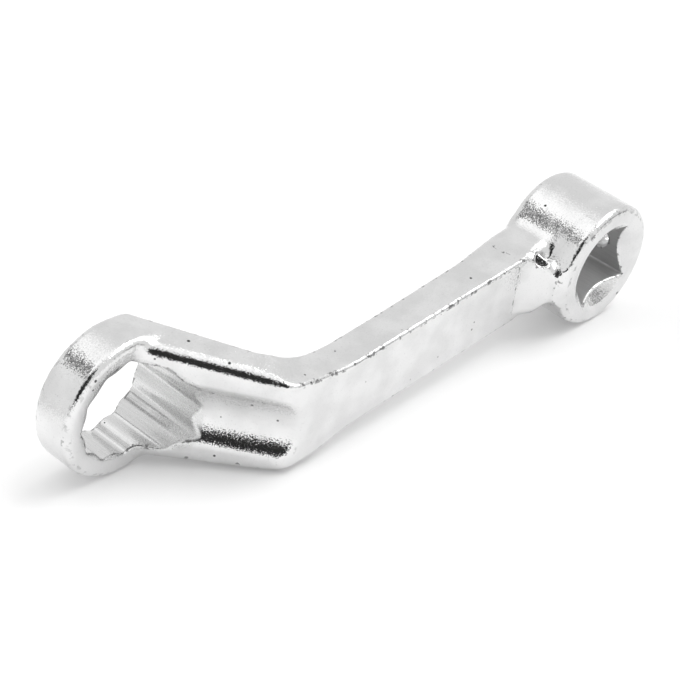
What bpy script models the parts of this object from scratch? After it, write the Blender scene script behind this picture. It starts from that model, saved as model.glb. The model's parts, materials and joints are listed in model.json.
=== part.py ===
"""Camber adjustment wrench: a cranked twelve-point ring spanner with a square-drive socket on its shank.

Metres, +Z up. The wrench lies on its side: both bores run along Y, the shank runs along X from the ring
(-X) to the drive socket (+X), and the bores open towards -Y. The origin is at the bottom centre of the box.
"""

import math

import bmesh
import bpy
from mathutils import Matrix, Vector

# Driving dimensions, in metres
CENTRE_DISTANCE = 0.1000      # ring bore axis to square drive axis
RING_SETBACK = 0.0276         # ring front face behind the socket's front face

RING_RADIUS = 0.0140
RING_WIDTH = 0.0088
RING_EDGE_ROUND = 0.0013
BORE_ACROSS_FLATS = 0.0180    # twelve-point bore
BORE_LEAD_SHARE = 0.22        # share of the ring's wall that the lead-in takes at each mouth of the bore
BORE_LEAD_DEPTH = 0.0011

SOCKET_RADIUS = 0.0128
SOCKET_LENGTH = 0.0174
SOCKET_FRONT_ROUND = 0.0014
SOCKET_BACK_ROUND = 0.0020
SQUARE_SIDE = 0.0127          # half-inch square drive
SQUARE_TURN = math.radians(10.0)
SQUARE_LEAD_RADIUS = 0.0093   # cone at the mouth of the square
SQUARE_LEAD_DEPTH = 0.0022    # its depth at the middle of a flat
DETENT_DIAMETER = 0.0054      # cross hole that the driver's detent ball drops into
DETENT_SETBACK = 0.0073       # its axis behind the socket's front face

SHANK_THICKNESS = 0.0074
SHANK_END_THICKNESS = 0.0098  # the shank thickens towards the neck
SHANK_HEIGHT = 0.0144
SHANK_SETBACK = 0.0060        # shank front face behind the socket's front face, at the neck
SHANK_DRIFT = 0.0011          # how much further forward the front face lies at the bend
SHANK_EDGE_ROUND = 0.0010
SHANK_TAPER_LENGTH = 0.0420   # stretch of shank beside the neck that thickens

CRANK_ANGLE = math.radians(58.0)   # the arm turns back from the shank by this angle
CRANK_OUTER_ROUND = 0.0080
CRANK_INNER_ROUND = 0.0070
ARM_LANDING = 0.0015          # the arm's front face meets the plane of the ring's front this far from its axis
ARM_THICKNESS = 0.0094
ARM_HEIGHT_AT_CRANK = 0.0208
ARM_RING_STEP = 0.0011        # the arm's edges lie this far inside the ring's top and bottom
ARM_FRONT_ROUND = 0.0028      # the edges beside the channel are rounder than the back ones
ARM_BACK_ROUND = 0.0016
FLARE_LENGTH = 0.0240         # stretch over which the shank's height grows to the arm's
FLARE_LEAD = 0.0180           # length of that stretch before the crank's corner

CHANNEL_RADIUS = 0.0105       # scooped trough along the arm's inner face
CHANNEL_DEPTH = 0.0021
CHANNEL_END = 0.0030          # centre of its round end, from the crank's outer corner along the arm
CHANNEL_LENGTH = 0.0200       # straight stretch, which runs out into the bore

NECK_START = 0.0206           # weld neck begins this far from the drive axis
NECK_REACH = 0.0140           # length of the neck, which ends inside the socket's seat
NECK_FRONT_RADIUS = 0.0080    # hollow of the flare that sweeps forward
NECK_SIDE_RADIUS = 0.0060     # hollow of the fillets above and below
NECK_SIDE_START = 0.0075      # the fillets leave the shank's faces this far along the neck
NECK_SIDE_SWEEP = 0.60        # share of its radius over which a fillet runs
NECK_BACK_RADIUS = 0.0900
NECK_SWEEP = 0.90             # share of its radius over which the forward flare runs
NECK_FRONT_TAPER = 0.90       # height the forward flare loses for each unit along the neck
NECK_FRONT_INSET = 0.0003     # the forward flare starts this far inside the neck's end and edges
NECK_EDGE_GROWTH = 1.20       # how fast the upper and lower front edges round off as they lift

SEAM = 0.0003                 # gap between pieces that touch
WELD_REACH = 0.00001          # points this close after a cut or a join are one point
SEGMENTS = 64                 # facets round a turned piece
CORNER_STEPS = 4              # facets round an edge of the shank and the arm
SHANK_STEPS = 16              # sections along each stretch of the body
CRANK_STEPS = 10
ARM_STEPS = 8
NECK_STEPS = 10

# Places and sizes worked out from the driving dimensions; the crank's corner is counted from the drive axis
RING_X = (RING_RADIUS - CENTRE_DISTANCE - SOCKET_RADIUS) / 2
DRIVE_X = RING_X + CENTRE_DISTANCE
FRONT_Y = -(RING_SETBACK + RING_WIDTH) / 2
RING_FRONT_Y = FRONT_Y + RING_SETBACK
RING_BACK_Y = RING_FRONT_Y + RING_WIDTH
MID_Z = RING_RADIUS
CRANK_SETBACK = SHANK_SETBACK - SHANK_DRIFT
CRANK_CORNER = CENTRE_DISTANCE - ARM_LANDING - (RING_SETBACK - CRANK_SETBACK) / math.tan(CRANK_ANGLE)
ARM_HEIGHT_AT_RING = 2 * (RING_RADIUS - ARM_RING_STEP)
BORE_CORNER_RADIUS = BORE_ACROSS_FLATS / 2 / math.cos(math.radians(30))
BORE_LEAD_RADIUS = BORE_CORNER_RADIUS + BORE_LEAD_SHARE * (RING_RADIUS - BORE_CORNER_RADIUS)

WRENCH = bpy.data.collections.new("camber_adjustment_wrench")
CUTTERS = bpy.data.collections.new("cutters")


def clear_scene():
    for item in list(bpy.data.objects):
        bpy.data.objects.remove(item)
    for collection in (WRENCH, CUTTERS):
        bpy.context.scene.collection.children.link(collection)


def metal(name, colour, roughness):
    material = bpy.data.materials.new(name)
    material.use_nodes = True
    shader = material.node_tree.nodes["Principled BSDF"]
    shader.inputs["Base Color"].default_value = (*colour, 1.0)
    shader.inputs["Metallic"].default_value = 1.0
    shader.inputs["Roughness"].default_value = roughness
    return material


def new_object(name, mesh, collection, material=None):
    item = bpy.data.objects.new(name, mesh)
    collection.objects.link(item)
    if material:
        mesh.materials.append(material)
    if collection is CUTTERS:
        item.hide_render = True
        item.display_type = "WIRE"
    return item


def mesh_object(name, build, collection, material=None):
    """An object whose mesh is made by build(bm)."""
    bm = bmesh.new()
    build(bm)
    bmesh.ops.recalc_face_normals(bm, faces=bm.faces)
    mesh = bpy.data.meshes.new(name)
    bm.to_mesh(mesh)
    bm.free()
    return new_object(name, mesh, collection, material)


def turned(name, profile, collection, material=None):
    """A solid turned about its own Z axis: profile is (radius, height), outer side from top to bottom."""
    mesh = bpy.data.meshes.new(name)
    edges = [(i, i + 1) for i in range(len(profile) - 1)]
    mesh.from_pydata([(radius, 0.0, height) for radius, height in profile], edges, [])
    item = new_object(name, mesh, collection, material)
    screw = item.modifiers.new("turn", "SCREW")
    screw.axis = "Z"
    screw.steps = screw.render_steps = SEGMENTS
    screw.use_merge_vertices = True
    screw.merge_threshold = WELD_REACH
    return item


def rounded_disc(radius, length, top_round, bottom_round):
    """Profile of a disc on the axis from height 0 down to -length, with rounded rims."""
    points = [(0.0, 0.0)]
    for step in range(CORNER_STEPS + 1):
        turn = math.radians(90) * step / CORNER_STEPS
        points.append((radius - top_round * (1 - math.sin(turn)), -top_round * (1 - math.cos(turn))))
    for step in range(CORNER_STEPS + 1):
        turn = math.radians(90) * step / CORNER_STEPS
        drop = bottom_round * (1 - math.sin(turn))
        points.append((radius - bottom_round * (1 - math.cos(turn)), -length + drop))
    points.append((0.0, -length))
    return points


def along_y(item, x, y):
    """Stands a turned piece on the mid-plane with its axis along Y: its top faces -Y."""
    item.location = (x, y, MID_Z)
    item.rotation_euler = (math.radians(90), 0.0, 0.0)


def boolean(item, operation, other):
    """Joins or cuts with another object, then closes the hairline steps that this can leave."""
    modifier = item.modifiers.new(f"{operation.lower()}_{other.name}", "BOOLEAN")
    modifier.operation = operation
    modifier.object = other
    modifier.solver = "EXACT"
    weld = item.modifiers.new(f"weld_{other.name}", "WELD")
    weld.merge_threshold = WELD_REACH


def prism(name, sides, radius, y_from, y_to, x, turn):
    """A cutter of regular section along Y, with a corner at the angle turn above +X."""
    def build(bm):
        bmesh.ops.create_cone(bm, cap_ends=True, segments=sides, radius1=radius, radius2=radius,
                              depth=y_to - y_from)
    item = mesh_object(name, build, CUTTERS)
    # create_cone stands along Z with its first corner on -Y, so it is turned upright and then about Y
    upright = Matrix.Rotation(math.radians(90), 4, "X")
    item.matrix_world = (Matrix.Translation((x, (y_from + y_to) / 2, MID_Z))
                         @ Matrix.Rotation(math.radians(90) - turn, 4, "Y") @ upright)
    return item


def cone_cutter(name, x, mouth_y, mouth_radius, slope, inward):
    """A lead-in cone with this radius at mouth_y; it narrows by depth / slope on its way inward along Y."""
    reach = mouth_radius * slope
    margin = reach / 4

    def build(bm):
        bmesh.ops.create_cone(bm, cap_ends=True, segments=SEGMENTS, depth=reach + margin,
                              radius1=mouth_radius + margin / slope, radius2=0.0)
    item = mesh_object(name, build, CUTTERS)
    item.location = (x, mouth_y + inward * (reach - margin) / 2, MID_Z)
    item.rotation_euler = (math.radians(-90 * inward), 0.0, 0.0)
    return item


def rounded_section(front, back, height, front_round, back_round):
    """A closed ring of points: a rectangle with rounded corners, from front to back in plan."""
    across = (back - front).normalized()
    thickness = (back - front).length
    middle = (front + back) / 2
    points = []
    corners = ((1, 1, back_round), (-1, 1, front_round), (-1, -1, front_round), (1, -1, back_round))
    for quarter, (side, level, radius) in enumerate(corners):
        for step in range(CORNER_STEPS + 1):
            turn = math.radians(90) * (quarter + step / CORNER_STEPS)
            out = side * (thickness / 2 - radius) + radius * math.cos(turn)
            up = level * (height / 2 - radius) + radius * math.sin(turn)
            points.append(Vector((middle.x + across.x * out, middle.y + across.y * out, MID_Z + up)))
    return points


def loft(bm, sections):
    """Skins a row of sections with equal counts of points and closes both ends."""
    rings = [[bm.verts.new(point) for point in section] for section in sections]
    for ring, following in zip(rings, rings[1:]):
        for i in range(len(ring)):
            j = (i + 1) % len(ring)
            bm.faces.new((ring[i], ring[j], following[j], following[i]))
    bm.faces.new(rings[0])
    bm.faces.new(rings[-1])


def smooth_step(share):
    share = min(1.0, max(0.0, share))
    return share * share * (3 - 2 * share)


def shade(item, angle=35.0):
    """Smooth shading with sharp edges kept, on a piece with no turned or cut stages left to run."""
    item.data.shade_smooth()
    item.data.set_sharp_from_angle(angle=math.radians(angle))


# Plan of the shank and the crank, as points in the XY plane

def shank_front(x):
    """The shank's front face, on a line that runs slightly forward from the neck to the crank."""
    share = (DRIVE_X - NECK_START - x) / (CRANK_CORNER - NECK_START)
    return Vector((x, FRONT_Y + SHANK_SETBACK - SHANK_DRIFT * share))


def shank_thickness(x):
    share = 1 - (DRIVE_X - NECK_START - x) / SHANK_TAPER_LENGTH
    return SHANK_THICKNESS + (SHANK_END_THICKNESS - SHANK_THICKNESS) * smooth_step(share)


ARM_WAY = Vector((-math.cos(CRANK_ANGLE), math.sin(CRANK_ANGLE)))
ARM_INWARD = Vector((math.sin(CRANK_ANGLE), math.cos(CRANK_ANGLE)))
OUTER_CORNER = shank_front(DRIVE_X - CRANK_CORNER)
INNER_CORNER = (OUTER_CORNER + Vector((0.0, SHANK_THICKNESS))
                + Vector((1.0, 0.0)) * (ARM_THICKNESS - SHANK_THICKNESS * ARM_INWARD.y) / ARM_INWARD.x)
OUTER_TANGENT = CRANK_OUTER_ROUND * math.tan(CRANK_ANGLE / 2)
INNER_TANGENT = CRANK_INNER_ROUND * math.tan(CRANK_ANGLE / 2)
ARM_LENGTH = (RING_BACK_Y - RING_EDGE_ROUND - INNER_CORNER.y) / ARM_WAY.y


def corner_arc(corner, radius, share):
    """A point on the arc that rounds a plan corner between the shank and the arm, share 0 to 1."""
    start = corner + Vector((radius * math.tan(CRANK_ANGLE / 2), 0.0))
    centre = start + Vector((0.0, radius))
    turn = CRANK_ANGLE * share
    return centre + radius * Vector((-math.sin(turn), -math.cos(turn)))


def arm_point(corner, distance):
    return corner + ARM_WAY * distance


def body_height(way_past_corner):
    """Height of the shank and the arm, by the distance along them past the crank's corner."""
    flare = smooth_step((way_past_corner + FLARE_LEAD) / FLARE_LENGTH)
    rise = min(1.0, max(0.0, way_past_corner / ARM_LENGTH))
    at_crank = SHANK_HEIGHT + (ARM_HEIGHT_AT_CRANK - SHANK_HEIGHT) * flare
    return at_crank + (ARM_HEIGHT_AT_RING - ARM_HEIGHT_AT_CRANK) * rise


def body_section(front, back, way_past_corner):
    """One section of the body, with its edges rounder on the arm than on the shank."""
    flare = smooth_step((way_past_corner + FLARE_LEAD) / FLARE_LENGTH)
    front_round = SHANK_EDGE_ROUND + (ARM_FRONT_ROUND - SHANK_EDGE_ROUND) * flare
    back_round = SHANK_EDGE_ROUND + (ARM_BACK_ROUND - SHANK_EDGE_ROUND) * flare
    return rounded_section(front, back, body_height(way_past_corner), front_round, back_round)


def shank_sections():
    """Straight shank from the neck's seam to the start of the crank."""
    start = DRIVE_X - NECK_START - SEAM
    end = OUTER_CORNER.x + OUTER_TANGENT
    back_end = INNER_CORNER.x + INNER_TANGENT
    for step in range(SHANK_STEPS):
        share = step / SHANK_STEPS
        x = start + (end - start) * share
        back_x = start + (back_end - start) * share
        back = shank_front(back_x) + Vector((0.0, shank_thickness(back_x)))
        yield shank_front(x), back, OUTER_CORNER.x - x


def crank_sections():
    """The bend: the front runs round the outer corner while the back runs round the inner one."""
    for step in range(CRANK_STEPS + 1):
        share = step / CRANK_STEPS
        front = corner_arc(OUTER_CORNER, CRANK_OUTER_ROUND, share)
        back = corner_arc(INNER_CORNER, CRANK_INNER_ROUND, share)
        yield front, back, OUTER_TANGENT * (2 * share - 1)


def arm_sections():
    """The straight arm from the bend into the middle of the ring's rim."""
    for step in range(1, ARM_STEPS + 1):
        share = step / ARM_STEPS
        way = OUTER_TANGENT + (ARM_LENGTH - OUTER_TANGENT) * share
        inner_way = INNER_TANGENT + (ARM_LENGTH - INNER_TANGENT) * share
        yield arm_point(OUTER_CORNER, way), arm_point(INNER_CORNER, inner_way), way


def make_spanner(material):
    """The forging: shank, crank and arm as one loft, with the ring, its bore and the scooped channel."""
    def build(bm):
        rows = [*shank_sections(), *crank_sections(), *arm_sections()]
        loft(bm, [body_section(*row) for row in rows])
    spanner = mesh_object("ring_spanner_body", build, WRENCH, material)

    blank = rounded_disc(RING_RADIUS, RING_WIDTH, RING_EDGE_ROUND, RING_EDGE_ROUND)
    ring = turned("ring_blank", blank, CUTTERS)
    along_y(ring, RING_X, RING_FRONT_Y)
    slope = BORE_LEAD_DEPTH / (BORE_LEAD_RADIUS - BORE_ACROSS_FLATS / 2)
    for name, mouth_y, inward in (("front_lead", RING_FRONT_Y, 1), ("back_lead", RING_BACK_Y, -1)):
        boolean(ring, "DIFFERENCE", cone_cutter(name, RING_X, mouth_y, BORE_LEAD_RADIUS, slope, inward))
    boolean(spanner, "UNION", ring)
    boolean(spanner, "DIFFERENCE", channel_cutter())
    boolean(spanner, "DIFFERENCE", bore_cutter())
    return spanner


def bore_cutter():
    """The twelve-point broach: two hexagons 30 degrees apart, with a corner that points along the shank."""
    inner = BORE_ACROSS_FLATS / 2 / math.cos(math.radians(15))

    def build(bm):
        corners = []
        for step in range(24):
            radius = inner if step % 2 else BORE_CORNER_RADIUS
            turn = math.radians(15) * step
            corner = (RING_X + radius * math.cos(turn), FRONT_Y, MID_Z + radius * math.sin(turn))
            corners.append(bm.verts.new(corner))
        face = bm.faces.new(corners)
        grown = bmesh.ops.extrude_face_region(bm, geom=[face])["geom"]
        moved = [item for item in grown if isinstance(item, bmesh.types.BMVert)]
        bmesh.ops.translate(bm, verts=moved, vec=(0.0, RING_BACK_Y + RING_WIDTH - FRONT_Y, 0.0))
    return mesh_object("bore_broach", build, CUTTERS)


def channel_cutter():
    """A round-ended bar that lies along the arm's inner face and leaves the scooped trough."""
    profile = [(0.0, CHANNEL_RADIUS)]
    for step in range(1, 9):
        turn = math.radians(90) * step / 8
        profile.append((CHANNEL_RADIUS * math.sin(turn), CHANNEL_RADIUS * math.cos(turn)))
    profile += [(CHANNEL_RADIUS, -CHANNEL_LENGTH), (0.0, -CHANNEL_LENGTH)]
    bar = turned("channel_bar", profile, CUTTERS)
    height_over_face = CHANNEL_RADIUS - CHANNEL_DEPTH
    end = arm_point(OUTER_CORNER, CHANNEL_END) - ARM_INWARD * height_over_face
    bar.location = (end.x, end.y, MID_Z)
    bar.rotation_euler = Vector((-ARM_WAY.x, -ARM_WAY.y, 0.0)).to_track_quat("Z", "Y").to_euler()
    return bar


def make_socket(material):
    """The turned socket with its square, the lead-in cone and the detent cross hole."""
    socket = turned("drive_socket",
                    rounded_disc(SOCKET_RADIUS, SOCKET_LENGTH, SOCKET_FRONT_ROUND, SOCKET_BACK_ROUND),
                    WRENCH, material)
    along_y(socket, DRIVE_X, FRONT_Y)

    square = prism("square", 4, SQUARE_SIDE / math.sqrt(2), FRONT_Y - SOCKET_LENGTH,
                   FRONT_Y + 2 * SOCKET_LENGTH, DRIVE_X, SQUARE_TURN + math.radians(45))
    boolean(socket, "DIFFERENCE", square)

    slope = SQUARE_LEAD_DEPTH / (SQUARE_LEAD_RADIUS - SQUARE_SIDE / 2)
    lead = cone_cutter("square_lead", DRIVE_X, FRONT_Y, SQUARE_LEAD_RADIUS, slope, 1)
    boolean(socket, "DIFFERENCE", lead)

    def build(bm):
        bmesh.ops.create_cone(bm, cap_ends=True, segments=SEGMENTS // 2, radius1=DETENT_DIAMETER / 2,
                              radius2=DETENT_DIAMETER / 2, depth=SOCKET_RADIUS)
    drill = mesh_object("detent_drill", build, CUTTERS)
    way = Vector((math.cos(SQUARE_TURN), 0.0, math.sin(SQUARE_TURN)))
    drill.location = Vector((DRIVE_X, FRONT_Y + DETENT_SETBACK, MID_Z)) + way * SOCKET_RADIUS
    drill.rotation_euler = way.to_track_quat("Z", "Y").to_euler()
    boolean(socket, "DIFFERENCE", drill)
    return socket


def make_neck(material):
    """The dressed weld: fillets run up and down the socket's side, a flare sweeps forward to its rim."""
    start = DRIVE_X - NECK_START

    def rise(way, radius, sweep):
        """How far a hollow of this radius has left the shank's face."""
        way = min(max(way, 0.0), sweep * radius)
        return radius - math.sqrt(radius * radius - way * way)

    def build_side(bm):
        sections = []
        for step in range(NECK_STEPS + 1):
            way = NECK_REACH * step / NECK_STEPS
            front = shank_front(start + way)
            back = front + Vector((0.0, SHANK_END_THICKNESS + rise(way, NECK_BACK_RADIUS, NECK_SWEEP)))
            lift = rise(way - NECK_SIDE_START, NECK_SIDE_RADIUS, NECK_SIDE_SWEEP)
            front_round = SHANK_EDGE_ROUND + NECK_EDGE_GROWTH * lift
            section = rounded_section(front, back, SHANK_HEIGHT + 2 * lift, front_round, SHANK_EDGE_ROUND)
            sections.append(section)
        loft(bm, sections)

    def build_front(bm):
        sections = []
        for step in range(NECK_STEPS + 1):
            way = NECK_FRONT_INSET + (NECK_REACH - NECK_FRONT_INSET) * step / NECK_STEPS
            sweep = rise(way, NECK_FRONT_RADIUS, NECK_SWEEP)
            front = shank_front(start + way) - Vector((0.0, sweep))
            back = shank_front(start + way) + Vector((0.0, SHANK_END_THICKNESS / 2))
            swept = min(way, NECK_SWEEP * NECK_FRONT_RADIUS)
            height = SHANK_HEIGHT - NECK_FRONT_TAPER * swept - NECK_FRONT_INSET
            sections.append(rounded_section(front, back, height, SHANK_EDGE_ROUND, SHANK_EDGE_ROUND))
        loft(bm, sections)

    neck = mesh_object("weld_neck", build_side, WRENCH, material)
    boolean(neck, "UNION", mesh_object("neck_front_flare", build_front, CUTTERS))

    seat_radius = SOCKET_RADIUS + SEAM
    seat = turned("socket_seat", [(0.0, SOCKET_LENGTH), (seat_radius, SOCKET_LENGTH),
                                  (seat_radius, -2 * SOCKET_LENGTH), (0.0, -2 * SOCKET_LENGTH)], CUTTERS)
    along_y(seat, DRIVE_X, FRONT_Y)
    boolean(neck, "DIFFERENCE", seat)
    return neck


def main():
    clear_scene()
    plated = metal("plated_forging", (0.80, 0.80, 0.79), 0.22)
    turned_steel = metal("plated_socket", (0.82, 0.82, 0.81), 0.18)
    dressed_weld = metal("plated_weld", (0.80, 0.80, 0.79), 0.20)
    for piece in (make_spanner(plated), make_socket(turned_steel), make_neck(dressed_weld)):
        shade(piece)


main()
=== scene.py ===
"""Looks of the camber adjustment wrench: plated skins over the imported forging, weld neck and drive socket."""

import json
import math

import bpy
import numpy as np
from mathutils import Matrix, Vector

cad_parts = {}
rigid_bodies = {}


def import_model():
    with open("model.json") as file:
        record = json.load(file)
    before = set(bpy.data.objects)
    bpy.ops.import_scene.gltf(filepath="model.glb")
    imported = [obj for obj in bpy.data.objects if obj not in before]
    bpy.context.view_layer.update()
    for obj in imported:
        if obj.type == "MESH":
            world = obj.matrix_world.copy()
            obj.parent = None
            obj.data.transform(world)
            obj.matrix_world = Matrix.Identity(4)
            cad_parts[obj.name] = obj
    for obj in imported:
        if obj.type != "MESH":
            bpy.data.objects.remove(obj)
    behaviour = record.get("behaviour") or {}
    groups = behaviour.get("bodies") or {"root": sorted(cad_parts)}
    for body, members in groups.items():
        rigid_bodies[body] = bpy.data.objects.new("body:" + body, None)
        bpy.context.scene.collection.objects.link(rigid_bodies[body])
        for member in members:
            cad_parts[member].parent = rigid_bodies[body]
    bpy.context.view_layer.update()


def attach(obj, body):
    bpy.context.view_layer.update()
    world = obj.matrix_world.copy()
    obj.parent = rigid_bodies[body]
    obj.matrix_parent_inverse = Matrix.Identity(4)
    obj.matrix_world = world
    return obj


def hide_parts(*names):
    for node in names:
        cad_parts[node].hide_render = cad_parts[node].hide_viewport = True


for item in list(bpy.data.objects):
    bpy.data.objects.remove(item)

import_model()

# Sizes in millimetres from the centre of the socket's front face: X along the shank, Y to the back, Z up
MM_PER_METRE = 1000.0

# Ring and bore
CENTRE_DISTANCE = 100.0
RING_RADIUS, RING_FRONT, RING_WIDTH, RING_ROUND = 14.0, 27.6, 8.8, 1.5
BORE_FLATS, BORE_CORNER, BORE_POINT, BORE_RIM = 18.0, 0.7, 0.5, 0.35
BORE_LEAD_RADIUS, BORE_LEAD_DEPTH, BORE_LEAD_RIM = 10.6, 0.6, 0.5
BORE_DULL_RADIUS = 10.5

# Socket with its square and its detent hole
SOCKET_RADIUS, SOCKET_LENGTH, SOCKET_FRONT_ROUND, SOCKET_BACK_ROUND = 12.8, 17.4, 1.5, 2.0
SQUARE_SIDE, SQUARE_TURN, SQUARE_CORNER, SQUARE_RIM = 12.7, math.radians(10.0), 0.35, 0.3
LEAD_RADIUS, LEAD_DEPTH, LEAD_RIM = 9.3, 2.2, 0.4
DETENT_RADIUS, DETENT_SETBACK, DETENT_RIM = 2.7, 7.3, 0.3

# Shank
SHANK_SETBACK, SHANK_DRIFT, SHANK_HEIGHT, SHANK_ROUND = 6.0, 1.1, 14.4, 0.7
SHANK_THICKNESS, SHANK_END_THICKNESS, TAPER_LENGTH = 7.4, 8.05, 42.0

# Crank and arm; starts count from the crank's corner toward the ring
CRANK_ANGLE, CRANK_SPREAD, CRANK_OUTER, CRANK_INNER = math.radians(56.85), 24.0, 4.0, 9.0
ARM_BACK_ANGLE, ARM_SETOVER, ARM_THICKNESS = math.radians(60.8), 2.14, 6.5
ARM_END_ROUND, ARM_BLEND = 1.0, 1.5
HEIGHT_AT_CRANK, HEIGHT_AT_RING, RISE_START, RISE_RUN = 21.4, 25.8, -18.0, 24.0
ARM_TOP_ROUND, TOP_ROUND_START, TOP_ROUND_RUN = 2.5, -1.0, 7.0
ARM_LOW_ROUND, LOW_ROUND_START, LOW_ROUND_RUN = 3.4, -10.0, 12.0
ARM_BACK_ROUND = 1.2
CHANNEL_RADIUS, CHANNEL_DEPTH, CHANNEL_RIM = 9.0, 2.4, 0.9
CHANNEL_START, CHANNEL_LENGTH = -2.4, 24.6

# Neck, from the line across the shank to the socket
NECK_START, NECK_END, NECK_END_ROUND, NECK_BLEND = 20.6, 7.0, 1.0, 2.2
NECK_FRONT_GROWTH, NECK_FRONT_RUN = 1.7, 8.0
NECK_BACK_GROWTH, NECK_BACK_LEAD, NECK_BACK_RUN = 2.0, 10.0, 18.0
SWELL, SWELL_START, SWELL_RUN = 2.5, 32.0, 19.0
FLARE_RADIUS, FLARE_ROUND, FLARE_FRONT, FLARE_BACK = 8.0, 2.2, 2.2, 8.0
FLARE_DROP, FLARE_DROP_START, FLARE_DROP_RUN, FLARE_LEAST = 0.30, 4.0, 7.0, 1.0
FLARE_BLEND, FLARE_BLEND_LEAST, FLARE_BLEND_RUN = 3.0, 0.05, 6.0
FLARE_FADE_START, FLARE_FADE_RUN = 1.0, 3.0
POCKET_FLOOR, POCKET_AXIS = (-14.5, 5.4, 5.6), (-0.62, -0.49, 0.61)
POCKET_RADIUS, POCKET_ROUND, POCKET_RIM = 1.7, 0.25, 0.2

# Lines and corners of the plan that follow from these sizes
CRANK_SETBACK = SHANK_SETBACK - SHANK_DRIFT
CORNER_X = -(CENTRE_DISTANCE - ARM_SETOVER - (RING_FRONT - CRANK_SETBACK) / math.tan(CRANK_ANGLE))
WAY = np.array([-math.cos(CRANK_ANGLE), math.sin(CRANK_ANGLE)])
INWARD = np.array([math.sin(CRANK_ANGLE), math.cos(CRANK_ANGLE)])
BACK_INWARD = np.array([math.sin(ARM_BACK_ANGLE), math.cos(ARM_BACK_ANGLE)])
OUTER_CORNER = np.array([CORNER_X, CRANK_SETBACK])
INNER_CORNER = OUTER_CORNER + [(ARM_THICKNESS - SHANK_THICKNESS * INWARD[1]) / INWARD[0], SHANK_THICKNESS]
ARM_LENGTH = (RING_FRONT + RING_WIDTH - RING_ROUND - INNER_CORNER[1]) / WAY[1]

# Place of the centre of the socket's front face in the shared frame, in metres
ORIGIN = np.array([(RING_RADIUS + CENTRE_DISTANCE - SOCKET_RADIUS) / 2, -(RING_FRONT + RING_WIDTH) / 2,
                   RING_RADIUS]) / MM_PER_METRE


# Distance fields: negative inside the metal, in millimetres

def step(share):
    """Smooth rise from 0 to 1."""
    share = np.clip(share, 0.0, 1.0)
    return share * share * (3 - 2 * share)


def join(a, b, reach):
    """Union with a hollow blend."""
    mix = np.maximum(reach - np.abs(a - b), 0.0) / reach
    return np.minimum(a, b) - mix * mix * reach / 4


def cut(a, b, reach):
    """What is left of a after b is taken out, with a rounded rim."""
    return -join(-a, b, reach)


def rounded_pair(a, b, radius):
    """Intersection of two slabs whose shared edge is rounded."""
    a = a + radius
    b = b + radius
    return np.minimum(np.maximum(a, b), 0.0) + np.hypot(np.maximum(a, 0.0), np.maximum(b, 0.0)) - radius


def wedge(x, y, corner, normal_a, normal_b, radius, bow=0.0):
    """Distance to a rounded plan wedge between two lines through a corner; bow shifts it along Y."""
    normals = np.array([normal_a, normal_b])
    inner = corner - np.linalg.solve(normals, [radius, radius])
    dx, dy = x - inner[0], y - inner[1] - bow
    a = dx * normal_a[0] + dy * normal_a[1]
    b = dx * normal_b[0] + dy * normal_b[1]
    share = np.linalg.inv(normals.T)
    first = share[0, 0] * dx + share[0, 1] * dy
    second = share[1, 0] * dx + share[1, 1] * dy
    fan = (first > 0) & (second > 0)
    return np.where(fan, np.hypot(dx, dy), np.maximum(a, b)) - radius


def lead_cone(radius, depth, mouth_radius, end_radius, cone_depth):
    """The cone at the mouth of a hole."""
    slope = cone_depth / (mouth_radius - end_radius)
    return ((radius - mouth_radius) * slope + depth) / math.hypot(1.0, slope)


def body_plan(x, y):
    """Distances to the front and the back outline of shank and arm in plan, and the way past the crank."""
    lean = SHANK_DRIFT / (NECK_START + CORNER_X)
    front_normal = np.array([-lean, -1.0]) / math.hypot(lean, 1.0)
    front = wedge(x, y, OUTER_CORNER, front_normal, -INWARD, CRANK_OUTER)
    thicker = (SHANK_END_THICKNESS - SHANK_THICKNESS) * step(1 + (x + NECK_START) / TAPER_LENGTH)
    thicker = thicker + SWELL * step((x + SWELL_START) / SWELL_RUN)
    behind = wedge(x, y, INNER_CORNER, front_normal, -BACK_INWARD, CRANK_INNER, thicker)
    arm_way = (x - CORNER_X) * WAY[0] + (y - CRANK_SETBACK) * WAY[1]
    shank_way = CORNER_X - x
    side = (x - CORNER_X) * (WAY[0] - 1.0) + (y - CRANK_SETBACK) * WAY[1]
    past = step(0.5 + side / CRANK_SPREAD)
    return front, -behind, shank_way * (1 - past) + arm_way * past


def loft(x, y, z):
    """Shank and arm, without ends."""
    front, back, way = body_plan(x, y)
    growth = step((way - RISE_START) / RISE_RUN)
    rise = np.clip(way / ARM_LENGTH, 0.0, 1.0)
    height = SHANK_HEIGHT + (HEIGHT_AT_CRANK - SHANK_HEIGHT) * growth
    height = height + (HEIGHT_AT_RING - HEIGHT_AT_CRANK) * rise
    level = np.abs(z) - height / 2
    top_round = SHANK_ROUND + (ARM_TOP_ROUND - SHANK_ROUND) * step((way - TOP_ROUND_START) / TOP_ROUND_RUN)
    low_round = SHANK_ROUND + (ARM_LOW_ROUND - SHANK_ROUND) * step((way - LOW_ROUND_START) / LOW_ROUND_RUN)
    front_round = np.where(z > 0, top_round, low_round)
    back_round = SHANK_ROUND + (ARM_BACK_ROUND - SHANK_ROUND) * growth
    front_round = front_round + NECK_FRONT_GROWTH * step((x + NECK_START) / NECK_FRONT_RUN)
    back_round = back_round + NECK_BACK_GROWTH * step((x + NECK_START + NECK_BACK_LEAD) / NECK_BACK_RUN)
    return np.maximum(rounded_pair(front, level, front_round), rounded_pair(back, level, back_round))


def disc(x, y, z, centre_x, front, length, radius, front_round, back_round):
    """A turned disc along Y with rounded rims."""
    around = np.hypot(x - centre_x, z) - radius
    return np.maximum(rounded_pair(around, front - y, front_round),
                      rounded_pair(around, y - front - length, back_round))


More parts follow.
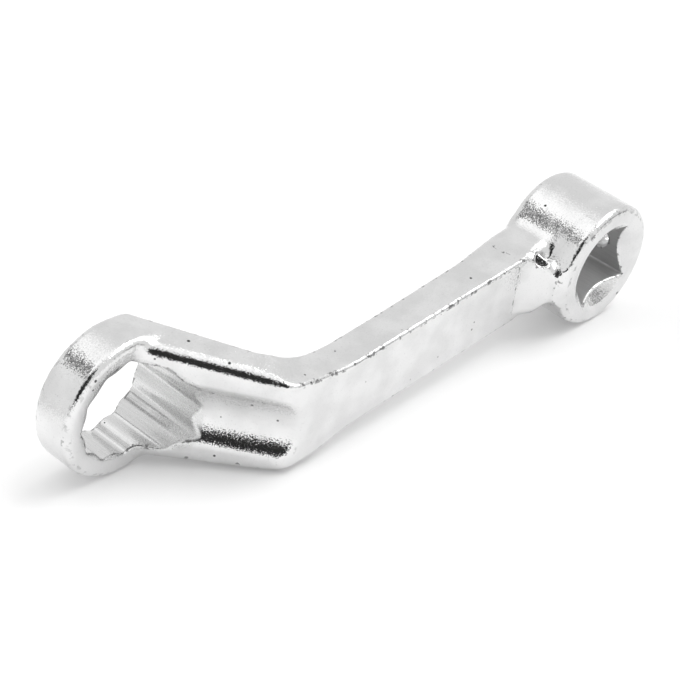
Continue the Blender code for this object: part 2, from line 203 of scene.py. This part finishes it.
def bore(x, z):
    """The twelve-point broach as two hexagons."""
    x = x + CENTRE_DISTANCE
    found = None
    for turn in (0, 30):
        hexagon = None
        for flat in (30, 90, 150):
            angle = math.radians(flat + turn)
            side = np.abs(x * math.cos(angle) + z * math.sin(angle)) - BORE_FLATS / 2
            hexagon = side if hexagon is None else cut(hexagon, -side, BORE_CORNER)
        found = hexagon if found is None else join(found, hexagon, BORE_POINT)
    return found


def channel(x, y, z):
    """The scoop along the arm's front face: a round-ended trough that runs into the bore."""
    start = OUTER_CORNER + WAY * CHANNEL_START - INWARD * (CHANNEL_RADIUS - CHANNEL_DEPTH)
    along = np.clip((x - start[0]) * WAY[0] + (y - start[1]) * WAY[1], 0.0, CHANNEL_LENGTH)
    off_x, off_y = x - start[0] - along * WAY[0], y - start[1] - along * WAY[1]
    return np.sqrt(off_x ** 2 + off_y ** 2 + z * z) - CHANNEL_RADIUS


def spanner_field(p):
    """Ring, arm and shank."""
    x, y, z = p
    ring = disc(x, y, z, -CENTRE_DISTANCE, RING_FRONT, RING_WIDTH, RING_RADIUS, RING_ROUND, RING_ROUND)
    radius = np.hypot(x + CENTRE_DISTANCE, z)
    for depth in (y - RING_FRONT, RING_FRONT + RING_WIDTH - y):
        lead = lead_cone(radius, depth, BORE_LEAD_RADIUS, BORE_FLATS / 2, BORE_LEAD_DEPTH)
        ring = cut(ring, lead, BORE_LEAD_RIM)
    past_ring = y - RING_FRONT - RING_WIDTH
    bar = rounded_pair(loft(x, y, z), past_ring, ARM_END_ROUND)
    found = np.maximum(join(bar, ring, ARM_BLEND), past_ring)
    found = cut(found, channel(x, y, z), CHANNEL_RIM)
    return cut(found, bore(x, z), BORE_RIM)


def flare(x, y, z):
    """The front of the neck, swept out to the socket while its top and bottom edges draw in."""
    reach_x, reach_y = x + NECK_START, y - SHANK_SETBACK + FLARE_RADIUS
    sweep = np.where(reach_y > 0, FLARE_RADIUS - np.hypot(reach_x, reach_y), FLARE_RADIUS - reach_x)
    past = np.clip(reach_x - FLARE_DROP_START, 0.0, FLARE_DROP_RUN)
    level = np.abs(z) - np.maximum(SHANK_HEIGHT / 2 - FLARE_DROP * past * past, FLARE_LEAST)
    level = level / np.hypot(1.0, 2 * FLARE_DROP * past)
    found = rounded_pair(np.maximum(sweep, -reach_x), level, FLARE_ROUND)
    return np.maximum(np.maximum(found, FLARE_FRONT - y), np.maximum(y - FLARE_BACK, x + NECK_END))


def pocket(x, y, z):
    """The small pit that the weld left beside the shank's edge."""
    offsets = [value - middle for value, middle in zip((x, y, z), POCKET_FLOOR)]
    depth = sum(offset * share for offset, share in zip(offsets, POCKET_AXIS))
    aside = np.sqrt(np.maximum(sum(offset * offset for offset in offsets) - depth * depth, 0.0))
    return rounded_pair(aside - POCKET_RADIUS, -depth, POCKET_ROUND)


def socket_field(p):
    """Socket and neck, with the square and the detent hole."""
    x, y, z = p
    boss = disc(x, y, z, 0.0, 0.0, SOCKET_LENGTH, SOCKET_RADIUS, SOCKET_FRONT_ROUND, SOCKET_BACK_ROUND)
    bar = rounded_pair(loft(x, y, z), x + NECK_END, NECK_END_ROUND)
    found = join(bar, boss, NECK_BLEND)
    fade = step((SHANK_SETBACK + FLARE_FADE_START - y) / FLARE_FADE_RUN)
    reach = FLARE_BLEND_LEAST + FLARE_BLEND * step((x + NECK_START) / FLARE_BLEND_RUN) * fade
    found = np.maximum(join(found, flare(x, y, z), reach), -y)
    found = cut(found, pocket(x, y, z), POCKET_RIM)
    turned_x = x * math.cos(SQUARE_TURN) + z * math.sin(SQUARE_TURN)
    turned_z = z * math.cos(SQUARE_TURN) - x * math.sin(SQUARE_TURN)
    half = SQUARE_SIDE / 2
    square = rounded_pair(np.abs(turned_x) - half, np.abs(turned_z) - half, SQUARE_CORNER)
    found = cut(found, square, SQUARE_RIM)
    found = cut(found, lead_cone(np.hypot(x, z), y, LEAD_RADIUS, half, LEAD_DEPTH), LEAD_RIM)
    drill = np.maximum(np.hypot(turned_z, y - DETENT_SETBACK) - DETENT_RADIUS, -turned_x)
    return cut(found, drill, DETENT_RIM)


# Skins drawn from a distance field, on a grid of cubic cells

CELL = 0.36
CORNERS = np.array([(i, j, k) for i in (0, 1) for j in (0, 1) for k in (0, 1)])
SLOPE_REACH, NORMAL_REACH, LEAST_SLOPE_SQUARED = 0.02, 0.05, 0.25
FIRST_ROUNDS, EVENING_ROUNDS, LATER_ROUNDS = 3, 2, 2
MERGING_STEPS_PER_MM = 1000


def slope_of(field, points, reach):
    """Gradient of a field at some points."""
    gradient = np.empty_like(points)
    for axis in range(3):
        ahead, behind = points.copy(), points.copy()
        ahead[axis] += reach
        behind[axis] -= reach
        gradient[axis] = (field(ahead) - field(behind)) / (2 * reach)
    return gradient


def settle(field, points, rounds, rim):
    """Moves points onto the zero surface of a field; points on the end face's rim keep their X."""
    for _ in range(rounds):
        gradient = slope_of(field, points, SLOPE_REACH)
        gradient[0] = np.where(rim, 0.0, gradient[0])
        move = field(points) / np.maximum((gradient * gradient).sum(0), LEAST_SLOPE_SQUARED)
        points = points - gradient * np.clip(move, -CELL, CELL)
    return points


def sampled(field, low, high):
    """Values of a field at the grid's points."""
    counts = np.ceil((np.array(high) - low) / CELL).astype(int) + 1
    axes = [low[axis] + CELL * np.arange(counts[axis]) for axis in range(3)]
    y, z = np.meshgrid(axes[1], axes[2], indexing="ij")
    value = np.empty(counts)
    for i, x in enumerate(axes[0]):
        value[i] = field((np.full(y.shape, x), y, z))
    return value


def crossed_cells(inside):
    """The cells that the surface crosses, and a grid with their numbers."""
    cells = np.array(inside.shape) - 1
    tally = sum(inside[a:a + cells[0], b:b + cells[1], c:c + cells[2]].astype(np.int8) for a, b, c in CORNERS)
    crossed = np.argwhere((tally > 0) & (tally < len(CORNERS)))
    index = np.full(cells, -1)
    index[tuple(crossed.T)] = np.arange(len(crossed))
    return crossed, index


def middles(value, crossed):
    """The mean of the points where the surface crosses each cell's edges, counted in cells."""
    total = np.zeros((len(crossed), 3))
    hits = np.zeros(len(crossed))
    for first in CORNERS:
        for axis in range(3):
            if first[axis]:
                continue
            second = first.copy()
            second[axis] = 1
            a = value[tuple((crossed + first).T)]
            b = value[tuple((crossed + second).T)]
            hit = (a < 0) != (b < 0)
            share = np.where(hit, a / np.where(hit, a - b, 1.0), 0.0)
            crossing = first + share[:, None] * (second - first)
            total += np.where(hit[:, None], crossing, 0.0)
            hits += hit
    return crossed + total / hits[:, None]


def outward_faces(inside, index):
    """A face with four corners for each grid edge that the surface crosses."""
    faces = []
    for axis in range(3):
        u, v = (axis + 1) % 3, (axis + 2) % 3
        here = [slice(None)] * 3
        here[axis] = slice(0, -1)
        beyond = [slice(None)] * 3
        beyond[axis] = slice(1, None)
        a, b = inside[tuple(here)], inside[tuple(beyond)]
        edges = np.argwhere(a != b)
        leaving = a[tuple(edges.T)]
        around = []
        for du, dv in ((-1, -1), (0, -1), (0, 0), (-1, 0)):
            cell = edges.copy()
            cell[:, u] += du
            cell[:, v] += dv
            around.append(index[tuple(cell.T)])
        around = np.stack(around, 1)
        faces.append(np.where(leaving[:, None], around, around[:, ::-1]))
    return np.concatenate(faces)


def evened(points, faces):
    """Points moved half way to the mean of their neighbours."""
    count = points.shape[1]
    sums = np.zeros_like(points)
    near = np.zeros(count)
    for k in range(4):
        a, b = faces[:, k], faces[:, (k + 1) % 4]
        for axis in range(3):
            sums[axis] += np.bincount(a, points[axis][b], count)
        near += np.bincount(a, minlength=count)
    return points + 0.5 * (sums / near - points)


def skin(name, whole, low, high, end, keep):
    """A closed mesh over the zero surface of a field, one point in each cell that the surface crosses.

    The field is cut off flat at X = end, and keep is the side that stays.
    """
    low = np.array(low, dtype=float)
    low[0] = end - CELL * (round((end - low[0]) / CELL) + 0.5)

    def field(p):
        return np.maximum(whole(p), keep * (end - p[0]))

    value = sampled(field, low, high)
    inside = value < 0
    crossed, index = crossed_cells(inside)
    faces = outward_faces(inside, index)
    points = (low + CELL * middles(value, crossed)).T
    layer = np.abs(low[0] + CELL * (crossed[:, 0] + 0.5) - end) < CELL / 2
    points[0] = np.where(layer, end, points[0])
    flat = layer & (whole(points) < -CELL)
    rim = layer & ~flat

    def fit(places, rounds):
        return np.where(flat, places, settle(whole, places, rounds, rim))

    points = fit(points, FIRST_ROUNDS)
    for _ in range(EVENING_ROUNDS):
        points = evened(points, faces)
        points[0] = np.where(layer, end, points[0])
        points = fit(points, LATER_ROUNDS)
    normals = slope_of(whole, points, NORMAL_REACH)
    normals[:, flat] = np.array([[-keep], [0.0], [0.0]])
    normals /= np.linalg.norm(normals, axis=0)

    # Points that met on the rim become one, and the faces between them go
    steps = np.round(points * MERGING_STEPS_PER_MM)
    _, kept, merged = np.unique(steps, axis=1, return_index=True, return_inverse=True)
    points, normals = points[:, kept], normals[:, kept]
    rings = [list(dict.fromkeys(ring)) for ring in merged.reshape(-1)[faces].tolist()]
    rings = [ring for ring in rings if len(ring) > 2]

    mesh = bpy.data.meshes.new(name)
    mesh.from_pydata((points.T / MM_PER_METRE + ORIGIN).tolist(), [], rings)
    mesh.shade_smooth()
    mesh.validate()
    mesh.normals_split_custom_set_from_vertices(normals.T.tolist())
    piece = bpy.data.objects.new(name, mesh)
    bpy.context.scene.collection.objects.link(piece)
    return piece


# Nodes

def node(tree, kind, **settings):
    """A new node with its own settings, such as its operation."""
    made = tree.nodes.new(kind)
    for key, value in settings.items():
        setattr(made, key, value)
    return made


def feed(tree, entry, value):
    """Links an input to another node's output, or sets its value."""
    if isinstance(value, bpy.types.NodeSocket):
        tree.links.new(value, entry)
    elif value is not None:
        entry.default_value = value


def ramp(tree, source, low, high, from_value=0.0, to_value=1.0):
    """Straight change from one value to another while the source goes from low to high."""
    made = node(tree, "ShaderNodeMapRange")
    made.inputs["From Min"].default_value = low
    made.inputs["From Max"].default_value = high
    made.inputs["To Min"].default_value = from_value
    made.inputs["To Max"].default_value = to_value
    tree.links.new(source, made.inputs["Value"])
    return made.outputs["Result"]


def noise(tree, place, scale, detail=2.0, rough=0.5, output="Fac"):
    """Cloud pattern with so many features to the metre."""
    made = node(tree, "ShaderNodeTexNoise")
    made.inputs["Scale"].default_value = scale
    made.inputs["Detail"].default_value = detail
    made.inputs["Roughness"].default_value = rough
    tree.links.new(place, made.inputs["Vector"])
    return made.outputs[output]


def maths(tree, operation, first, second=None):
    """Arithmetic with one or two numbers."""
    made = node(tree, "ShaderNodeMath", operation=operation)
    feed(tree, made.inputs[0], first)
    feed(tree, made.inputs[1], second)
    return made.outputs[0]


def vectors(tree, operation, first, second=None, scale=None):
    """Arithmetic with one or two vectors."""
    made = node(tree, "ShaderNodeVectorMath", operation=operation)
    feed(tree, made.inputs[0], first)
    feed(tree, made.inputs[1], second)
    if scale is not None:
        feed(tree, made.inputs["Scale"], scale)
    return made.outputs["Value" if operation == "DOT_PRODUCT" else "Vector"]


def long_side(tree, first, second):
    """Length of the long side of a right triangle."""
    squares = [maths(tree, "MULTIPLY", side, side) for side in (first, second)]
    return maths(tree, "SQRT", maths(tree, "ADD", *squares))


def mixed(tree, factor, first, second):
    """Blend of two colours, each given as a grey or as another node's output."""
    made = node(tree, "ShaderNodeMix", data_type="RGBA")
    for key, value in (("A", first), ("B", second)):
        feed(tree, made.inputs[key], (value, value, value, 1.0) if isinstance(value, float) else value)
    tree.links.new(factor, made.inputs["Factor"])
    return made.outputs["Result"]


# Plating: greys of the bare, cloudy, grained, pitted and nicked metal, and of a streak as a share of its hole
# wall's painted shade
BARE_TONE, CLOUD_TONE, GRAIN_TONE, PIT_TONE, NICK_TONE, STREAK_SHARE = 0.80, 0.72, 0.60, 0.10, 0.28, 0.93
LEAST_ROUGHNESS, MOST_ROUGHNESS = 0.07, 0.14
# Heights of the relief as shares of its depth, which is in metres
WAVE_HEIGHT, GRAIN_HEIGHT, STREAK_HEIGHT, PIT_DEPTH, RELIEF_DEPTH = 0.35, 0.15, 0.10, 0.5, 0.0001
# Tilt that the speckle of the forged grain gives the reflections, and the speckle's mean
SPECKLE_TILT, SPECKLE_MEAN = 0.55, (0.5, 0.5, 0.5)
# Streaks run along the hole's axis, Y
STREAK_STRETCH = (1.0, 0.05, 1.0)
# Bands in metres over which a hole's wall turns from the bright plating to its painted shade and rougher finish
WALL_START, WALL_FULL, WALL_EDGE = 0.0001, 0.0004, 0.0002


def inside_hole(tree, place, axis_x, hole_radius, lead_slope):
    """1 on the walls of a hole about an axis along Y, where painted shade and more roughness go, and 0 outside
    it.
    """
    parts = node(tree, "ShaderNodeSeparateXYZ")
    tree.links.new(place, parts.inputs[0])
    off_x = maths(tree, "SUBTRACT", parts.outputs["X"], axis_x)
    off_z = maths(tree, "SUBTRACT", parts.outputs["Z"], float(ORIGIN[2]))
    radius = long_side(tree, off_x, off_z)
    depth = maths(tree, "SUBTRACT", parts.outputs["Y"], float(ORIGIN[1]))
    lead = maths(tree, "MULTIPLY", maths(tree, "SUBTRACT", hole_radius, radius), lead_slope)
    past_lead = ramp(tree, maths(tree, "SUBTRACT", depth, lead), WALL_START, WALL_FULL)
    near_axis = ramp(tree, radius, hole_radius - WALL_EDGE, hole_radius, 1.0, 0.0)
    return maths(tree, "MULTIPLY", past_lead, near_axis)


def plating(name, axis_x, hole_radius, lead_slope, wall_shade_tone, inside_rough):
    """Bright plating over steel: waves, a forged grain, pits, nicked edges and a rougher hole along Y whose
    walls carry painted shade.
    """
    material = bpy.data.materials.new(name)
    material.use_nodes = True
    tree = material.node_tree
    shader = tree.nodes["Principled BSDF"]
    shader.inputs["Metallic"].default_value = 1.0
    place = node(tree, "ShaderNodeTexCoord").outputs["Object"]
    inside = inside_hole(tree, place, axis_x, hole_radius, lead_slope)
    outside = maths(tree, "SUBTRACT", 1.0, inside)

    waves = noise(tree, place, scale=330.0, detail=1.0)
    grain = noise(tree, place, scale=3400.0, rough=0.55)
    clouds = noise(tree, place, scale=170.0, detail=4.0)
    streaks = noise(tree, vectors(tree, "MULTIPLY", place, STREAK_STRETCH), scale=3200.0)
    spots = node(tree, "ShaderNodeTexVoronoi")
    spots.inputs["Scale"].default_value = 420.0
    tree.links.new(place, spots.inputs["Vector"])
    pit_size = ramp(tree, noise(tree, place, scale=190.0, detail=0.0), low=0.54, high=0.74, to_value=0.13)
    pit = maths(tree, "LESS_THAN", spots.outputs["Distance"], pit_size)
    edge = ramp(tree, node(tree, "ShaderNodeNewGeometry").outputs["Pointiness"], low=0.513, high=0.522)
    worn = ramp(tree, noise(tree, place, scale=800.0, detail=3.0, rough=0.6), low=0.56, high=0.60)

    tone = mixed(tree, ramp(tree, clouds, low=0.38, high=0.62), BARE_TONE, CLOUD_TONE)
    tone = mixed(tree, ramp(tree, grain, low=0.62, high=0.80), tone, GRAIN_TONE)
    # Hole walls: a darker grey painted as the shade inside the recess, with streaks along it
    shaded_wall = mixed(tree, ramp(tree, streaks, low=0.35, high=0.65), wall_shade_tone, wall_shade_tone * STREAK_SHARE)
    tone = mixed(tree, inside, tone, shaded_wall)
    tone = mixed(tree, pit, tone, PIT_TONE)
    tone = mixed(tree, maths(tree, "MULTIPLY", edge, worn), tone, NICK_TONE)
    tree.links.new(tone, shader.inputs["Base Color"])
    roughness = ramp(tree, grain, 0.3, 0.7, LEAST_ROUGHNESS, MOST_ROUGHNESS)
    roughness = maths(tree, "ADD", roughness, maths(tree, "MULTIPLY", inside, inside_rough))
    tree.links.new(roughness, shader.inputs["Roughness"])

    grain_relief = maths(tree, "MULTIPLY", maths(tree, "MULTIPLY", grain, GRAIN_HEIGHT), outside)
    streak_relief = maths(tree, "MULTIPLY", maths(tree, "MULTIPLY", streaks, STREAK_HEIGHT), inside)
    height = maths(tree, "ADD", maths(tree, "MULTIPLY", waves, WAVE_HEIGHT), grain_relief)
    height = maths(tree, "ADD", height, streak_relief)
    height = maths(tree, "SUBTRACT", height, maths(tree, "MULTIPLY", pit, PIT_DEPTH))
    bump = node(tree, "ShaderNodeBump")
    bump.inputs["Strength"].default_value = 1.0
    bump.inputs["Distance"].default_value = RELIEF_DEPTH
    tree.links.new(height, bump.inputs["Height"])
    speckle = vectors(tree, "SUBTRACT", noise(tree, place, scale=4200.0, output="Color"), SPECKLE_MEAN)
    tilt = vectors(tree, "SCALE", speckle, scale=maths(tree, "MULTIPLY", outside, SPECKLE_TILT))
    facing = vectors(tree, "NORMALIZE", vectors(tree, "ADD", bump.outputs["Normal"], tilt))
    tree.links.new(facing, shader.inputs["Normal"])
    return material


# Pieces, and the boxes in millimetres that their skins are drawn in

SPANNER_LOW, SPANNER_HIGH = (-115.5, 3.0, -15.5), (-19.5, 38.0, 15.5)
SOCKET_LOW, SOCKET_HIGH = (-22.0, -1.5, -14.0), (14.0, 19.0, 14.0)
drive_x = float(ORIGIN[0])
ring_x = drive_x - CENTRE_DISTANCE / MM_PER_METRE
cone_slope = LEAD_DEPTH / (LEAD_RADIUS - SQUARE_SIDE / 2)

spanner = skin("spanner_skin", spanner_field, SPANNER_LOW, SPANNER_HIGH, end=-NECK_START, keep=-1.0)
# The bore's walls get painted shade at tone 0.74 and a rougher finish
spanner.data.materials.append(plating("plated_forging", ring_x, BORE_DULL_RADIUS / MM_PER_METRE,
                                      lead_slope=0.0, wall_shade_tone=0.74, inside_rough=0.16))
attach(spanner, "root")
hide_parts("ring_spanner_body")

socket = skin("socket_and_neck_skin", socket_field, SOCKET_LOW, SOCKET_HIGH, end=-NECK_START, keep=1.0)
# The square's walls get darker painted shade at tone 0.64 and a rougher finish
socket.data.materials.append(plating("plated_socket", drive_x, LEAD_RADIUS / MM_PER_METRE,
                                     lead_slope=cone_slope, wall_shade_tone=0.64, inside_rough=0.38))
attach(socket, "root")
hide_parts("drive_socket", "weld_neck")

# Camera, at the photograph's angle
IMAGE_RIGHT = Vector((0.68011, -0.72576, 0.10351))
IMAGE_DOWN = Vector((-0.39191, -0.47926, -0.78532))
CAMERA_OFFSET = Vector((-0.3012, -0.1769, 0.2404))
FOCAL_LENGTH_IN_PIXELS, IMAGE_WIDTH = 2169.0, 680.0
camera_data = bpy.data.cameras.new("camera")
camera_data.sensor_width = 36.0
camera_data.lens = FOCAL_LENGTH_IN_PIXELS / IMAGE_WIDTH * camera_data.sensor_width
camera_data.clip_start = 0.01
camera = bpy.data.objects.new("camera", camera_data)
bpy.context.scene.collection.objects.link(camera)
right = IMAGE_RIGHT.normalized()
forward = right.cross(IMAGE_DOWN).normalized()
up = right.cross(forward)
turn = Matrix((right, up, -forward)).transposed()
camera.matrix_world = Matrix.Translation(Vector(ORIGIN) + CAMERA_OFFSET) @ turn.to_4x4()
bpy.context.scene.camera = camera

# Directions of the studio: level toward the camera, level to the camera's right, and up
FRONT = Vector((-0.71407, -0.67248, 0.19461)).normalized()
SIDE = Vector((0.69846, -0.70321, 0.13287)).normalized()
OVERHEAD = Vector((0.0475, 0.2308, 0.9718)).normalized()

# Floor: the plane that the wrench lies on, touching the ring, the crank and the socket
FLOOR_NORMAL, FLOOR_LEVEL = Vector((0.0448, 0.2049, 0.9778)).normalized(), -0.000025
FLOOR_CORNERS = [(-3, -3, 0), (3, -3, 0), (3, 3, 0), (-3, 3, 0)]
floor_mesh = bpy.data.meshes.new("floor")
floor_mesh.from_pydata(FLOOR_CORNERS, [], [(0, 1, 2, 3)])
floor = bpy.data.objects.new("floor", floor_mesh)
bpy.context.scene.collection.objects.link(floor)
floor.rotation_euler = FLOOR_NORMAL.to_track_quat("Z", "Y").to_euler()
floor.location = FLOOR_NORMAL * FLOOR_LEVEL

# Pale paper with painted shade: darker far to the left and a little darker to the right of the socket, so the
# metal reflects a dimmer floor there; distances in metres
PAPER_TONE, LEFT_SHADE_TONE, RIGHT_SHADE_TONE, PAPER_GLOW = 0.93, 0.66, 0.82, 0.11
LEFT_START, LEFT_FULL, RIGHT_START, RIGHT_FULL = 0.08, 0.20, -0.050, -0.064
paper = bpy.data.materials.new("paper")
paper.use_nodes = True
tree = paper.node_tree
matte = tree.nodes["Principled BSDF"]
leftward = vectors(tree, "DOT_PRODUCT", node(tree, "ShaderNodeNewGeometry").outputs["Position"], -SIDE)
# Painted shade on the paper to the left and to the right of the socket, which the metal reflects
tone = mixed(tree, ramp(tree, leftward, LEFT_START, LEFT_FULL), PAPER_TONE, LEFT_SHADE_TONE)
tone = mixed(tree, ramp(tree, leftward, RIGHT_START, RIGHT_FULL), tone, RIGHT_SHADE_TONE)
tree.links.new(tone, matte.inputs["Base Color"])
matte.inputs["Roughness"].default_value = 0.9
matte.inputs["Specular IOR Level"].default_value = 0.0
matte.inputs["Emission Color"].default_value = (1.0, 1.0, 1.0, 1.0)
rays = node(tree, "ShaderNodeLightPath")
shown = maths(tree, "MAXIMUM", rays.outputs["Is Camera Ray"], rays.outputs["Is Glossy Ray"])
tree.links.new(maths(tree, "MULTIPLY", shown, PAPER_GLOW), matte.inputs["Emission Strength"])
floor_mesh.materials.append(paper)

# Studio: a light room that brightens overhead, between two cosines of the angle to its brightest direction
ROOM_LIGHT, TOP_LIGHT, TOP_AZIMUTH, TOP_ELEVATION = 0.90, 1.32, -66.0, 74.0
TOP_START, TOP_FULL = 0.80, 0.985
# Ovals in the room: azimuth, elevation, half width and half height in degrees, soft edge, and brightness
OVALS = (
    (112.0, 47.0, 24.0, 11.0, 0.3, 1.35),  # a bright panel on the right
    (92.0, 57.0, 22.0, 14.0, 0.4, 4.3),    # a soft lamp on the right
    (88.0, 3.0, 24.0, 6.0, 0.3, 0.30),     # a dim strip low on the right
    (-82.0, 55.0, 24.0, 6.0, 0.5, 0.10),   # a dim strip on the left
    (-7.0, 22.0, 22.0, 33.0, 0.12, 0.03),  # a dark opening round the camera
)
LEAST_AHEAD = 0.001


def heading(azimuth, elevation):
    """Direction by its angle to the right of the camera and its height over the floor, in degrees."""
    azimuth, elevation = math.radians(azimuth), math.radians(elevation)
    level = FRONT * math.cos(azimuth) + SIDE * math.sin(azimuth)
    return (level * math.cos(elevation) + OVERHEAD * math.sin(elevation)).normalized()


def oval(tree, direction, azimuth, elevation, half_width, half_height, edge):
    """1 for the directions in an oval and 0 for those outside it."""
    middle = heading(azimuth, elevation)
    sideways = heading(azimuth + 90.0, 0.0)
    upward = middle.cross(sideways)
    ahead = maths(tree, "MAXIMUM", vectors(tree, "DOT_PRODUCT", direction, middle), LEAST_AHEAD)
    shares = []
    for axis, half_angle in ((sideways, half_width), (upward, half_height)):
        off = vectors(tree, "DOT_PRODUCT", direction, axis / math.tan(math.radians(half_angle)))
        shares.append(maths(tree, "DIVIDE", off, ahead))
    return ramp(tree, long_side(tree, *shares), 1.0 - edge, 1.0 + edge, 1.0, 0.0)


world = bpy.data.worlds.new("studio")
bpy.context.scene.world = world
world.use_nodes = True
tree = world.node_tree
direction = node(tree, "ShaderNodeTexCoord").outputs["Generated"]
nearness = vectors(tree, "DOT_PRODUCT", direction, heading(TOP_AZIMUTH, TOP_ELEVATION))
light = mixed(tree, ramp(tree, nearness, TOP_START, TOP_FULL), ROOM_LIGHT, TOP_LIGHT)
for *shape, brightness in OVALS:
    light = mixed(tree, oval(tree, direction, *shape), light, brightness)
rays = node(tree, "ShaderNodeLightPath")
seen = mixed(tree, rays.outputs["Is Camera Ray"], light, 1.0)
tree.links.new(seen, tree.nodes["Background"].inputs["Color"])

scene = bpy.context.scene
scene.view_settings.view_transform = "Standard"
